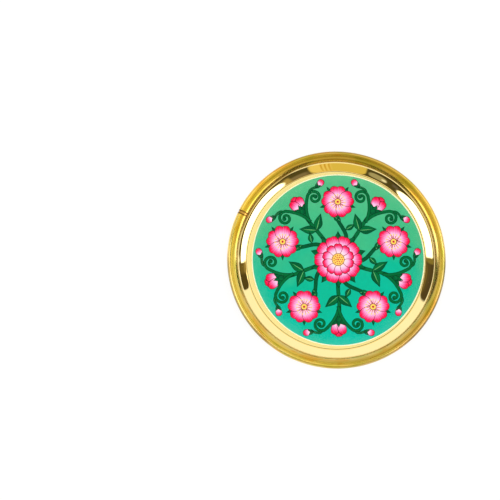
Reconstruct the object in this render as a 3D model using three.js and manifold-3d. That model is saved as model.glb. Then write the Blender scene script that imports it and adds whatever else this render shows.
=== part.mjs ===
// Decorative plate: a pressed brass pan with a split tubular rim crimped on its flange, a joining ferrule in the
// rim's gap, and a round picture on the floor under a clear coat.
//
// Millimetres, +Z up. The origin is the middle of the underside, where the plate rests. The rim's joint and the
// picture are placed as seen from above with +Y away from the viewer.
import * as THREE from "three";
import { mergeVertices } from "three/addons/utils/BufferGeometryUtils.js";
import Module from "manifold-3d";

const wasm = await Module();
wasm.setup();

const degrees = THREE.MathUtils.degToRad;

// The whole plate
const outerDiameter = 203;
const sheetThickness = 0.9;
const roundSegments = 72;
const tubeStep = degrees(18);
const boreStep = degrees(30);

// The pan's wall, from the floor outwards: angles are from the horizontal
const footRadius = 1.2;
const footAngle = degrees(30);
const wallRun = 5.4;
const wallTopAngle = degrees(45);
const shoulderRadius = 2.2;
const shoulderFallAngle = degrees(30);
const grooveRadius = 0.8;
const grooveWidth = 0.7;

// The rim: a tube, open towards the pan, closed over the pan's flange
const beadDiameter = 8.2;
const beadWall = 0.6;
const beadLift = 0.8;
const flangeGrip = 3.0;
const mouthClearance = 0.3;

// The joint in the rim
const jointAngle = degrees(153.75);
const collarWidth = 1.9;
const collarRecess = 0.15;
const endClearance = 0.3;
const spigotLength = 6;
const spigotWall = 0.5;
const spigotClearance = 0.3;

// The picture: its film lies a little off the middle, and comes closest to the foot on the +X side
const filmOffset = 2.0;
const filmMargin = 0.8;
const filmThickness = 0.25;
const coatThickness = 0.5;
const coatEdgeRadius = 0.35;

// The sheet's upper face is walked from the floor's edge outwards as a chain of bends and straight runs, each
// tangent to the last. Every point keeps its heading, so that the lower face is the same chain one sheet
// thickness further down along the normal.
function walkSheet(start, moves) {
  const path = [{ r: start.r, z: start.z, heading: 0 }];
  for (const { length, radius, turn, steps } of moves) {
    const from = path[path.length - 1];
    if (length !== undefined) {
      path.push({
        r: from.r + length * Math.cos(from.heading),
        z: from.z + length * Math.sin(from.heading),
        heading: from.heading,
      });
      continue;
    }
    const side = Math.sign(turn);
    for (let i = 1; i <= steps; i++) {
      const heading = from.heading + (turn * i) / steps;
      path.push({
        r: from.r + side * radius * (Math.sin(heading) - Math.sin(from.heading)),
        z: from.z - side * radius * (Math.cos(heading) - Math.cos(from.heading)),
        heading,
      });
    }
  }
  return path;
}

function underFace(point) {
  return {
    r: point.r + sheetThickness * Math.sin(point.heading),
    z: point.z - sheetThickness * Math.cos(point.heading),
  };
}

// Radii and heights that the pieces share
const beadRadius = beadDiameter / 2;
const rimRadius = outerDiameter / 2 - beadRadius;
const wallRadius = wallRun / (Math.sin(wallTopAngle) - Math.sin(footAngle));
const shoulderRun = shoulderRadius * (Math.sin(wallTopAngle) + Math.sin(shoulderFallAngle));
const bendRun =
  footRadius * Math.sin(footAngle) + wallRun + shoulderRun + grooveRadius * Math.sin(shoulderFallAngle);
const floorRadius = rimRadius - beadRadius - grooveWidth - bendRun;

const panFace = walkSheet({ r: floorRadius, z: sheetThickness }, [
  { radius: footRadius, turn: footAngle, steps: 2 },
  { radius: wallRadius, turn: wallTopAngle - footAngle, steps: 4 },
  { radius: shoulderRadius, turn: -wallTopAngle - shoulderFallAngle, steps: 6 },
  { radius: grooveRadius, turn: shoulderFallAngle, steps: 2 },
  { length: grooveWidth + flangeGrip },
]);
const flangeMiddle = panFace[panFace.length - 1].z - sheetThickness / 2;
const rimHeight = flangeMiddle + beadLift;
const mouthHeight = sheetThickness + 2 * mouthClearance;

// Solids
function closedSolid(geometry) {
  const bare = geometry.index ? geometry.toNonIndexed() : geometry.clone();
  bare.deleteAttribute("normal");
  bare.deleteAttribute("uv");
  const merged = mergeVertices(bare);
  const mesh = new wasm.Mesh({
    numProp: 3,
    vertProperties: new Float32Array(merged.attributes.position.array),
    triVerts: new Uint32Array(merged.index.array),
  });
  return new wasm.Manifold(mesh);
}

function geometryOf(solid) {
  const mesh = solid.getMesh();
  const geometry = new THREE.BufferGeometry();
  geometry.setAttribute("position", new THREE.BufferAttribute(mesh.vertProperties, 3));
  geometry.setIndex(new THREE.BufferAttribute(mesh.triVerts, 1));
  geometry.computeVertexNormals();
  return geometry;
}

// Turns a profile of { r, z } points about the plate's axis. It runs anticlockwise, so that the faces point out.
function turned(profile) {
  const points = profile.map(({ r, z }) => new THREE.Vector2(r, z));
  return new THREE.LatheGeometry(points, roundSegments).rotateX(Math.PI / 2);
}

// A tube's section about the middle of the rim, open towards the plate's axis where the flange goes in. Its points
// lie at whole steps of angle, so that it reaches its full width and height, and at the two lips of the opening.
function openTube(outerRadius, wall) {
  const arc = (radius, step) => {
    const lower = Math.asin((mouthHeight / 2 + beadLift) / radius) - Math.PI;
    const upper = Math.PI - Math.asin((mouthHeight / 2 - beadLift) / radius);
    const angles = [lower];
    for (let angle = -Math.PI + step; angle < upper - step / 2; angle += step) {
      if (angle > lower + step / 2) {
        angles.push(angle);
      }
    }
    angles.push(upper);
    return angles.map((angle) => ({
      r: rimRadius + radius * Math.cos(angle),
      z: rimHeight + radius * Math.sin(angle),
    }));
  };
  const outside = arc(outerRadius, tubeStep);
  const inside = arc(outerRadius - wall, boreStep).reverse();
  return [...outside, ...inside, outside[0]];
}

// A slab across the rim at its joint, with faces square to the rim
function slabAtJoint(width) {
  const depth = 2 * beadDiameter;
  const slab = new THREE.BoxGeometry(depth, width, depth);
  slab.translate(rimRadius, 0, rimHeight);
  slab.rotateZ(jointAngle);
  return closedSolid(slab);
}

// plate_pan: the pressed sheet, its floor a flat disc and its edge the flange
function panGeometry() {
  const underside = panFace.map(underFace);
  return turned([{ r: 0, z: 0 }, ...underside, ...[...panFace].reverse(), { r: 0, z: sheetThickness }]);
}

// rim_ring: the hoop, cut through at its joint
function rimGeometry() {
  const hoop = closedSolid(turned(openTube(beadRadius, beadWall)));
  return geometryOf(hoop.subtract(slabAtJoint(collarWidth + 2 * endClearance)));
}

// rim_joint_ferrule: a collar nearly level with the bead, and a spigot into each end of the hoop
function ferruleGeometry() {
  const spigotRadius = beadRadius - beadWall - spigotClearance;
  const collarRadius = beadRadius - collarRecess;
  const bore = spigotRadius - spigotWall;
  const collar = closedSolid(turned(openTube(collarRadius, collarRadius - bore)));
  const spigots = closedSolid(turned(openTube(spigotRadius, spigotWall)));
  const collarPart = collar.intersect(slabAtJoint(collarWidth));
  const spigotPart = spigots.intersect(slabAtJoint(collarWidth + 2 * (endClearance + spigotLength)));
  return geometryOf(collarPart.add(spigotPart));
}

// printed_film and clear_coat: two discs on the floor, the upper one with a rounded edge
const filmRadius = floorRadius - filmOffset - filmMargin;

function filmGeometry() {
  return turned([
    { r: 0, z: 0 },
    { r: filmRadius, z: 0 },
    { r: filmRadius, z: filmThickness },
    { r: 0, z: filmThickness },
  ]);
}

function coatGeometry() {
  const edgeSteps = 3;
  const edge = Array.from({ length: edgeSteps + 1 }, (_, i) => {
    const angle = (Math.PI / 2) * (i / edgeSteps);
    return {
      r: filmRadius - coatEdgeRadius * (1 - Math.cos(angle)),
      z: coatThickness - coatEdgeRadius * (1 - Math.sin(angle)),
    };
  });
  return turned([{ r: 0, z: 0 }, { r: filmRadius, z: 0 }, ...edge, { r: 0, z: coatThickness }]);
}

// Finishes
const polishedBrass = { color: 0xdfb548, roughness: 0.14, metalness: 1 };
const jointBrass = { color: 0xc9993a, roughness: 0.24, metalness: 1 };
const printedInk = { color: 0x2cc59b, roughness: 0.45, metalness: 0 };
const clearGloss = { color: 0xf6fffb, roughness: 0.06, metalness: 0, transparent: true, opacity: 0.25 };

function piece(name, geometry, finish) {
  const mesh = new THREE.Mesh(geometry, new THREE.MeshStandardMaterial(finish));
  mesh.name = name;
  return mesh;
}

// Assembly
const plate = new THREE.Group();
plate.name = "decorative_plate";
plate.add(piece("plate_pan", panGeometry(), polishedBrass));
plate.add(piece("rim_ring", rimGeometry(), polishedBrass));
plate.add(piece("rim_joint_ferrule", ferruleGeometry(), jointBrass));

const picture = new THREE.Group();
picture.position.set(filmOffset, 0, sheetThickness);
const film = piece("printed_film", filmGeometry(), printedInk);
const coat = piece("clear_coat", coatGeometry(), clearGloss);
coat.position.z = filmThickness;
picture.add(film, coat);
plate.add(picture);

export default plate;
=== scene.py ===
import cmath
import math

import bmesh
import bpy
from mathutils import Matrix, Vector
from mathutils.geometry import delaunay_2d_cdt


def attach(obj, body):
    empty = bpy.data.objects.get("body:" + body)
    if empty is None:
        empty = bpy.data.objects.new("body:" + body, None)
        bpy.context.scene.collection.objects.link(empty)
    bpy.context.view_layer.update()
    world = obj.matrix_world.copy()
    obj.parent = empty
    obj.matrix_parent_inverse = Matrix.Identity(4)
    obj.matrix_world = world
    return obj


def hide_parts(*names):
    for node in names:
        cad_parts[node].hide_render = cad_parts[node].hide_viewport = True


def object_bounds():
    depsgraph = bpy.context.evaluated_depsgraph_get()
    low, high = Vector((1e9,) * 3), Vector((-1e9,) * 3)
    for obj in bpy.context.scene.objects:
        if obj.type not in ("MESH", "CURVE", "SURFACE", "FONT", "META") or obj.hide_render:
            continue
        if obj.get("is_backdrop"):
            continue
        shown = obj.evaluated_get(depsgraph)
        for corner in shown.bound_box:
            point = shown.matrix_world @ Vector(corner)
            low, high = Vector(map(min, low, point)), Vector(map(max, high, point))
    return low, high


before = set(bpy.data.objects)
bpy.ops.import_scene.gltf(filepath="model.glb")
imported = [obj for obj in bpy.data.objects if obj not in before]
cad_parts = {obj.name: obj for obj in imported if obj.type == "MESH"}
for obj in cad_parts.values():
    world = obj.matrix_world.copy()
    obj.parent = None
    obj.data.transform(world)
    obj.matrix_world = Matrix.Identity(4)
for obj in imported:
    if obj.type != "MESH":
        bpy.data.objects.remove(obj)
cad_low, cad_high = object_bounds()


# The view. The photograph looks almost straight down into the plate, from a little towards its lower edge.
# The plate stands right of the picture's middle, so the camera aims beside it, with no lens shift.
PICTURE_PX = 500
PLATE_WIDTH_PX = 218.2
PLATE_MIDDLE_PX = (336.25, 259.1)
CAMERA_DISTANCE = 1.2
LEAN_TO_LOWER_EDGE = math.radians(7.0)
SENSOR_WIDTH = 36.0

middle_height = (cad_low.z + cad_high.z) / 2
metres_per_px = (cad_high.x - cad_low.x) / PLATE_WIDTH_PX
aim = Vector((
    (PICTURE_PX / 2 - PLATE_MIDDLE_PX[0]) * metres_per_px,
    (PLATE_MIDDLE_PX[1] - PICTURE_PX / 2) * metres_per_px / math.cos(LEAN_TO_LOWER_EDGE),
    middle_height,
))
towards_camera = Vector((0, -math.sin(LEAN_TO_LOWER_EDGE), math.cos(LEAN_TO_LOWER_EDGE)))

camera_data = bpy.data.cameras.new("camera")
camera_data.sensor_width = SENSOR_WIDTH
camera_data.lens = SENSOR_WIDTH * CAMERA_DISTANCE / (PICTURE_PX * metres_per_px)
camera = bpy.data.objects.new("camera", camera_data)
camera.location = aim + towards_camera * CAMERA_DISTANCE
camera.rotation_mode = "QUATERNION"
camera.rotation_quaternion = towards_camera.to_track_quat("Z", "Y")
bpy.context.scene.collection.objects.link(camera)
bpy.context.scene.camera = camera
bpy.context.scene.view_settings.view_transform = "Standard"


# The floor: a plain white studio sweep under the plate. It shows as white to the eye and in the metal, and
# keeps part of its own shading, so that the plate's shadow stays. From below it lets the view through.
HALF_SWEEP = 7.0
SWEEP_DROP = 0.00005
SWEEP_GLOW_SHARE = 0.85


def add_node(tree, kind, inputs=None, **settings):
    """Adds a node and sets its properties. An input takes a value, a socket, or a node's first output."""
    made = tree.nodes.new(kind)
    for name, value in settings.items():
        setattr(made, name, value)
    for name, value in (inputs or {}).items():
        if isinstance(value, bpy.types.Node):
            value = value.outputs[0]
        if isinstance(value, bpy.types.NodeSocket):
            tree.links.new(value, made.inputs[name])
        else:
            made.inputs[name].default_value = value
    return made


def new_material(name):
    """A material with an empty node tree."""
    material = bpy.data.materials.new(name)
    material.use_nodes = True
    material.node_tree.nodes.clear()
    return material


def linear(hex_colour):
    """An sRGB hex colour as linear RGBA."""
    parts = [int(hex_colour[i:i + 2], 16) / 255 for i in (1, 3, 5)]
    return [c / 12.92 if c <= 0.04045 else ((c + 0.055) / 1.055) ** 2.4 for c in parts] + [1.0]


sweep_mesh = bpy.data.meshes.new("studio_floor")
sweep_corners = [(x, y, -SWEEP_DROP) for x, y in ((-HALF_SWEEP, -HALF_SWEEP), (HALF_SWEEP, -HALF_SWEEP),
                                                  (HALF_SWEEP, HALF_SWEEP), (-HALF_SWEEP, HALF_SWEEP))]
sweep_mesh.from_pydata(sweep_corners, [], [(0, 1, 2, 3)])
sweep = bpy.data.objects.new("studio_floor", sweep_mesh)
bpy.context.scene.collection.objects.link(sweep)
sweep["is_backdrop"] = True

# Matt white paper: mostly a white glow where it is seen, also mirrored or through glass, and lit elsewhere.
paper = new_material("matt_white_sweep")
tree = paper.node_tree
rays = add_node(tree, "ShaderNodeLightPath")
seen = add_node(tree, "ShaderNodeMath", {0: rays.outputs["Is Camera Ray"], 1: rays.outputs["Is Glossy Ray"]},
                operation="MAXIMUM")
seen = add_node(tree, "ShaderNodeMath", {0: seen, 1: rays.outputs["Is Transmission Ray"]},
                operation="MAXIMUM")
glow_share = add_node(tree, "ShaderNodeMath", {0: seen, 1: SWEEP_GLOW_SHARE}, operation="MULTIPLY")
matt = add_node(tree, "ShaderNodeBsdfDiffuse", {"Color": linear("#FFFFFF")})
glow = add_node(tree, "ShaderNodeEmission", {"Color": linear("#FFFFFF"), "Strength": 1.0})
from_above = add_node(tree, "ShaderNodeMixShader", {0: glow_share, 1: matt, 2: glow})
from_below = add_node(tree, "ShaderNodeBsdfTransparent")
facing = add_node(tree, "ShaderNodeNewGeometry")
both_sides = add_node(tree, "ShaderNodeMixShader", {0: facing.outputs["Backfacing"], 1: from_above,
                                                    2: from_below})
add_node(tree, "ShaderNodeOutputMaterial", {"Surface": both_sides})
sweep_mesh.materials.append(paper)


# The light: a soft white studio dome. Cards and soft boxes stand round the plate, where its hollow wall
# mirrors them. A pale panel hangs overhead for the flat ledge, with a dark lens in it for the picture.
DOME_COLOUR = "#FFFDFA"
DOME_STRENGTH = 0.93
HALF_TURN = 180.0

dome = bpy.data.worlds.new("studio_dome")
bpy.context.scene.world = dome
dome.use_nodes = True
dome_tree = dome.node_tree
dome_tree.nodes.clear()
direction = add_node(dome_tree, "ShaderNodeTexCoord").outputs["Generated"]
axes = add_node(dome_tree, "ShaderNodeSeparateXYZ", {0: direction})
azimuth = add_node(dome_tree, "ShaderNodeMath", {0: axes.outputs["Y"], 1: axes.outputs["X"]},
                   operation="ARCTAN2")
azimuth = add_node(dome_tree, "ShaderNodeMath", {0: azimuth}, operation="DEGREES")
elevation = add_node(dome_tree, "ShaderNodeMath", {0: axes.outputs["Z"]}, operation="ARCSINE")
elevation = add_node(dome_tree, "ShaderNodeMath", {0: elevation}, operation="DEGREES")


def wide_card(middle, height, half_width, half_height, squareness, softness):
    """1 on a card bent round the dome and 0 off it. A squareness of 2 makes an ellipse, more a rectangle."""
    aside = add_node(dome_tree, "ShaderNodeMath", {0: azimuth, 1: middle}, operation="SUBTRACT")
    aside = add_node(dome_tree, "ShaderNodeMath", {0: aside, 1: -HALF_TURN, 2: HALF_TURN}, operation="WRAP")
    above = add_node(dome_tree, "ShaderNodeMath", {0: elevation, 1: height}, operation="SUBTRACT")
    shares = []
    for offset, half_size in ((aside, half_width), (above, half_height)):
        share = add_node(dome_tree, "ShaderNodeMath", {0: offset, 1: half_size}, operation="DIVIDE")
        share = add_node(dome_tree, "ShaderNodeMath", {0: share}, operation="ABSOLUTE")
        share = add_node(dome_tree, "ShaderNodeMath", {0: share, 1: squareness}, operation="POWER")
        shares.append(share)
    outwards = add_node(dome_tree, "ShaderNodeMath", {0: shares[0], 1: shares[1]}, operation="ADD")
    outwards = add_node(dome_tree, "ShaderNodeMath", {0: outwards, 1: 1 / squareness}, operation="POWER")
    return add_node(dome_tree, "ShaderNodeMapRange", {
        "Value": outwards, "From Min": 1 - softness, "From Max": 1 + softness, "To Min": 1.0,
        "To Max": 0.0}, interpolation_type="SMOOTHSTEP").outputs[0]


def round_card(middle, height, radius, softness):
    """1 on a round card on the dome and 0 off it."""
    turn, lift = math.radians(middle), math.radians(height)
    towards = (math.cos(turn) * math.cos(lift), math.sin(turn) * math.cos(lift), math.sin(lift))
    away = add_node(dome_tree, "ShaderNodeVectorMath", {0: direction, 1: towards}, operation="DISTANCE")
    return add_node(dome_tree, "ShaderNodeMapRange", {
        "Value": away.outputs["Value"], "From Min": math.radians(radius - softness),
        "From Max": math.radians(radius + softness), "To Min": 1.0, "To Max": 0.0},
        interpolation_type="SMOOTHSTEP").outputs[0]


# Each card lies over those before it: name, kind, the sizes that its kind takes, colour and strength. Sizes
# are in degrees, apart from a wide card's squareness and its softness, which is a share of its size. Azimuth
# runs anticlockwise from the plate's right.
CARDS = [
    ("low white surround", wide_card, (0.0, 0.0, 400.0, 33.0, 6.0, 0.10), "#FFFDF8", 0.9),
    ("lower panel", wide_card, (275.0, 54.0, 62.0, 26.0, 6.0, 0.30), "#FFFCF0", 1.3),
    ("upper cream card", wide_card, (85.0, 36.0, 71.0, 44.0, 6.0, 0.16), "#FFFFFF", 1.2),
    ("black flag behind the gold card", wide_card, (257.0, 13.0, 57.0, 36.0, 6.0, 0.05), "#554F2E", 1.0),
    ("brown card over the flag's end", wide_card, (303.0, 43.0, 9.0, 14.0, 6.0, 0.35), "#877C66", 1.0),
    ("khaki card by the right soft box", wide_card, (309.5, 32.0, 2.5, 13.0, 3.0, 0.5), "#B9A468", 1.0),
    ("brown patch by the left soft box", wide_card, (243.3, 32.5, 7.0, 9.5, 3.0, 0.15), "#AEAA91", 1.0),
    ("patch's pale end", wide_card, (238.3, 33.5, 2.0, 4.0, 2.0, 0.5), "#FFFFFF", 1.0),
    ("dim card by the left soft box", wide_card, (229.3, 27.0, 2.5, 5.0, 3.0, 0.5), "#6A6464", 1.0),
    ("gold card", wide_card, (272.4, 14.0, 20.1, 34.0, 6.0, 0.04), "#E7D170", 1.0),
    ("gold card's pale end", wide_card, (284.8, 14.0, 7.2, 32.0, 6.0, 0.25), "#F4DE8C", 1.05),
    ("gold card's first line", wide_card, (278.6, 14.0, 0.6, 32.0, 6.0, 0.6), "#DDB450", 1.0),
    ("gold card's second line", wide_card, (281.3, 14.0, 0.6, 32.0, 6.0, 0.6), "#D9AE48", 1.0),
    ("gold card's third line", wide_card, (284.0, 14.0, 0.6, 32.0, 6.0, 0.6), "#DDB450", 1.0),
    ("dark skirt of the right soft box", wide_card, (340.0, 4.0, 33.5, 16.0, 6.0, 0.10), "#6A5F3C", 1.0),
    ("left soft box", wide_card, (192.7, 35.0, 33.4, 23.0, 2.0, 0.05), "#FFFFFF", 3.4),
    ("right soft box", wide_card, (346.0, 31.5, 34.0, 18.5, 2.5, 0.05), "#FFFFFF", 3.4),
    ("right soft box's square end", wide_card, (358.5, 29.0, 12.0, 17.0, 8.0, 0.04), "#FFFFFF", 3.4),
    ("left flag", wide_card, (16.4, 14.0, 7.5, 20.0, 4.0, 0.06), "#574B2A", 1.0),
    ("left flag's paler start", wide_card, (12.0, 20.0, 2.9, 16.0, 3.0, 0.5), "#7A6A3A", 1.0),
    ("left flag's khaki corner", wide_card, (12.0, 32.0, 3.5, 7.0, 3.0, 0.4), "#A3925A", 1.0),
    ("right flag", wide_card, (159.9, 20.0, 13.8, 24.0, 3.5, 0.08), "#564A34", 1.0),
    ("right flag's upper part", wide_card, (161.5, 44.0, 11.0, 22.0, 4.0, 0.10), "#5E5236", 1.0),
    ("right flag's olive start", wide_card, (171.6, 22.0, 1.8, 24.0, 4.0, 0.4), "#8C8048", 1.0),
    ("right flag's olive band", wide_card, (158.0, 38.0, 9.0, 4.0, 3.0, 0.5), "#7A6C3E", 1.0),
    ("overhead panel", round_card, (57.2, 85.2, 8.5, 1.8), "#FFFEEA", 1.17),
    ("dark ceiling lens", round_card, (59.1, 82.33, 3.55, 0.25), "#FFFFFF", 0.1),
]

light = [c * DOME_STRENGTH for c in linear(DOME_COLOUR)[:3]]
for name, kind_of_card, sizes, colour, strength in CARDS:
    card_light = [c * strength for c in linear(colour)[:3]]
    cover = kind_of_card(*sizes)
    light = add_node(dome_tree, "ShaderNodeMix", {"Factor": cover, "A": light, "B": card_light},
                     data_type="VECTOR", label=name).outputs["Result"]
lit_dome = add_node(dome_tree, "ShaderNodeBackground", {"Color": light, "Strength": 1.0})
add_node(dome_tree, "ShaderNodeOutputWorld", {"Surface": lit_dome})


# The pan: the dish itself, pressed and spun from one brass sheet. Its floor is flat out to a sharp foot, its
# wall a shallow hollow, its shoulder round, and its flat edge the flange that the rim is closed on.
MM = 0.001
OUTER_RADIUS = (cad_high.x - cad_low.x) / 2
SHEET_THICKNESS = 0.9 * MM
FOOT_RADIUS = 1.2 * MM
FOOT_ANGLE = math.radians(26.74)
WALL_RUN = 6.094 * MM
WALL_TOP_ANGLE = math.radians(43.5)
SHOULDER_RADIUS = 1.7 * MM
SHOULDER_FALL = math.radians(30)
GROOVE_RADIUS = 0.8 * MM
GROOVE_WIDTH = 0.7 * MM
BEAD_RADIUS = 4.1 * MM
FLANGE_GRIP = 3.0 * MM
FLOOR_SUPPORT = 0.4 * MM
FOOT_STEPS = 6
WALL_STEPS = 16
SHOULDER_STEPS = 20
GROOVE_STEPS = 6
TURN_STEPS = 288
SHARP_EDGE = math.radians(40)

rim_radius = OUTER_RADIUS - BEAD_RADIUS
wall_radius = WALL_RUN / (math.sin(WALL_TOP_ANGLE) - math.sin(FOOT_ANGLE))
floor_radius = (rim_radius - BEAD_RADIUS - GROOVE_WIDTH - GROOVE_RADIUS * math.sin(SHOULDER_FALL)
                - SHOULDER_RADIUS * (math.sin(WALL_TOP_ANGLE) + math.sin(SHOULDER_FALL)) - WALL_RUN
                - FOOT_RADIUS * math.sin(FOOT_ANGLE))


def bend(path, radius, turn, steps):
    """Carries a sheet's upper face on round a bend: (r, z, heading) points, tangent to the last one."""
    r, z, start = path[-1]
    turning_radius = math.copysign(radius, turn)
    for i in range(1, steps + 1):
        heading = start + turn * i / steps
        path.append((r + turning_radius * (math.sin(heading) - math.sin(start)),
                     z - turning_radius * (math.cos(heading) - math.cos(start)), heading))


def turned_mesh(name, profile, steps):
    """Turns (r, z) points, anticlockwise with z up, about the plate's axis. Those on the axis become poles.

    Gives the mesh, and for each face its band: the number of the stretch of profile that it comes from.
    """
    verts, rings = [], []
    for r, z in profile:
        if r == 0:
            rings.append([len(verts)] * steps)
            verts.append((0, 0, z))
        else:
            rings.append(list(range(len(verts), len(verts) + steps)))
            verts += [(r * math.cos(math.tau * i / steps), r * math.sin(math.tau * i / steps), z)
                      for i in range(steps)]
    faces, bands = [], []
    for band, (inner, outer) in enumerate(zip(rings, rings[1:])):
        for i in range(steps):
            j = (i + 1) % steps
            faces.append(list(dict.fromkeys((inner[i], inner[j], outer[j], outer[i]))))
            bands.append(band)
    mesh = bpy.data.meshes.new(name)
    mesh.from_pydata(verts, [], faces)
    mesh.update()
    return mesh, bands


def finish_piece(mesh, node):
    """Smooth shades a finished mesh, and makes it the piece that stands for its node."""
    mesh.polygons.foreach_set("use_smooth", [True] * len(mesh.polygons))
    mesh.set_sharp_from_angle(angle=SHARP_EDGE)
    piece = bpy.data.objects.new(mesh.name, mesh)
    bpy.context.scene.collection.objects.link(piece)
    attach(piece, "root")
    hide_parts(node)


upper = [(floor_radius, SHEET_THICKNESS, 0.0)]
bend(upper, FOOT_RADIUS, FOOT_ANGLE, FOOT_STEPS)
bend(upper, wall_radius, WALL_TOP_ANGLE - FOOT_ANGLE, WALL_STEPS)
bend(upper, SHOULDER_RADIUS, -WALL_TOP_ANGLE - SHOULDER_FALL, SHOULDER_STEPS)
bend(upper, GROOVE_RADIUS, SHOULDER_FALL, GROOVE_STEPS)
upper.append((upper[-1][0] + GROOVE_WIDTH + FLANGE_GRIP, upper[-1][1], 0.0))
lower = [(r + SHEET_THICKNESS * math.sin(h), z - SHEET_THICKNESS * math.cos(h)) for r, z, h in upper]
flange_middle = upper[-1][1] - SHEET_THICKNESS / 2
support = floor_radius - FLOOR_SUPPORT
underside = [(0, 0), (support, 0)] + lower
upper_side = [(r, z) for r, z, _ in reversed(upper)]
upper_side += [(support, SHEET_THICKNESS), (0, SHEET_THICKNESS)]
pan_mesh, pan_bands = turned_mesh("spun_pan", underside + upper_side, TURN_STEPS)

# Polished brass, spun and buffed on a lathe: bright yellow metal with fine turning marks and a soft haze in
# its tone. Round lines lie over it: tarnish and painted shade on the seam under the rim, a painted dark
# reflection line under the lip on the upper sides, a warmer line at the foot, and a painted dark stretch of
# lip on the upper left.
NOISE_LOW = 0.3
NOISE_HIGH = 0.7
TURNING_MARK = 0.35 * MM
TURNING_DEPTH = 0.02 * MM
HAZE = 16.67 * MM
# Tarnish and painted shade on the seam under the rim's lip, from here outwards.
SEAM_START = 92.0 * MM
SEAM_END = 92.9 * MM
# A painted dark reflection line under the lip, on the upper sides.
DARK_LINE_RADIUS = 90.3 * MM
DARK_LINE_HALF_WIDTH = 0.65 * MM
FOOT_LINE_RADIUS = 83.9 * MM
FOOT_LINE_HALF_WIDTH = 0.8 * MM
# A painted dark reflection on a stretch of lip on the upper left.
DARK_LIP_SIDE = math.radians(140)
LIP_START = 90.1 * MM
LIP_END = 90.7 * MM


def round_the_axis(tree):
    """Sockets for a point of the object, the point brought down to z = 0, and its distance from the axis."""
    place = add_node(tree, "ShaderNodeTexCoord").outputs["Object"]
    level = add_node(tree, "ShaderNodeVectorMath", {0: place, 1: (1, 1, 0)}, operation="MULTIPLY").outputs[0]
    radius = add_node(tree, "ShaderNodeVectorMath", {0: level}, operation="LENGTH").outputs["Value"]
    return place, level, radius


def soft_line(tree, radius, middle, half_width, core):
    """1 on a round line's core, given as a share of its half width, falling to 0 at its edges."""
    off_line = add_node(tree, "ShaderNodeMath", {0: radius, 1: middle}, operation="SUBTRACT")
    off_line = add_node(tree, "ShaderNodeMath", {0: off_line}, operation="ABSOLUTE")
    return add_node(tree, "ShaderNodeMapRange", {
        "Value": off_line, "From Min": core * half_width, "From Max": half_width, "To Min": 1.0,
        "To Max": 0.0}, interpolation_type="SMOOTHSTEP").outputs[0]


def mottled(tree, grain, detail, roughness, tones):
    """Soft patches of two tones: the noise that they follow, and their colour."""
    place = add_node(tree, "ShaderNodeTexCoord").outputs["Object"]
    patches = add_node(tree, "ShaderNodeTexNoise", {"Vector": place, "Scale": 1 / grain, "Detail": detail,
                                                    "Roughness": roughness})
    tone = add_node(tree, "ShaderNodeMix", {"Factor": patches, "A": linear(tones[0]), "B": linear(tones[1])},
                    data_type="RGBA").outputs["Result"]
    return patches, tone


def lay_metal(tree, colour, roughness, marks, strength, depth):
    """Finishes a metal with its colour, its roughness, and the relief of its marks."""
    relief = add_node(tree, "ShaderNodeBump", {"Height": marks, "Strength": strength, "Distance": depth})
    metal = add_node(tree, "ShaderNodeBsdfPrincipled", {"Base Color": colour, "Metallic": 1.0,
                                                        "Roughness": roughness, "Normal": relief})
    add_node(tree, "ShaderNodeOutputMaterial", {"Surface": metal})


brass = new_material("polished_spun_brass")
tree = brass.node_tree
place, level, radius = round_the_axis(tree)
haze, tone = mottled(tree, HAZE, 4.0, 0.5, ("#F1DB98", "#F6E2A2"))
sides = add_node(tree, "ShaderNodeSeparateXYZ", {0: place})
across = add_node(tree, "ShaderNodeMath", {0: sides.outputs["X"]}, operation="ABSOLUTE")
towards_dark_lip = add_node(tree, "ShaderNodeVectorMath", {
    0: level, 1: (math.cos(DARK_LIP_SIDE), math.sin(DARK_LIP_SIDE), 0)}, operation="DOT_PRODUCT")
masks = {}
for part, value, start, end in (("seam", radius, SEAM_START, SEAM_END), ("lip", radius, LIP_START, LIP_END),
                                ("upper half", sides.outputs["Y"], -4 * MM, 6 * MM),
                                ("off the top", across, 30 * MM, 50 * MM),
                                ("dark lip side", towards_dark_lip.outputs["Value"], 81 * MM, 88 * MM)):
    masks[part] = add_node(tree, "ShaderNodeMapRange", {"Value": value, "From Min": start, "From Max": end},
                           interpolation_type="SMOOTHSTEP", label=part)
# The painted dark reflection line under the lip, kept to the upper sides off the top.
painted_dark_line = soft_line(tree, radius, DARK_LINE_RADIUS, DARK_LINE_HALF_WIDTH, 0.45)
painted_dark_line = add_node(tree, "ShaderNodeMath", {0: painted_dark_line, 1: masks["upper half"]}, operation="MULTIPLY")
painted_dark_line = add_node(tree, "ShaderNodeMath", {0: painted_dark_line, 1: masks["off the top"]}, operation="MULTIPLY")
foot_line = soft_line(tree, radius, FOOT_LINE_RADIUS, FOOT_LINE_HALF_WIDTH, 0.3)
# Painted dark reflection on the lip, on the side towards the upper left.
painted_dark_lip = add_node(tree, "ShaderNodeMath", {0: masks["dark lip side"], 1: masks["lip"]}, operation="MULTIPLY")
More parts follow.
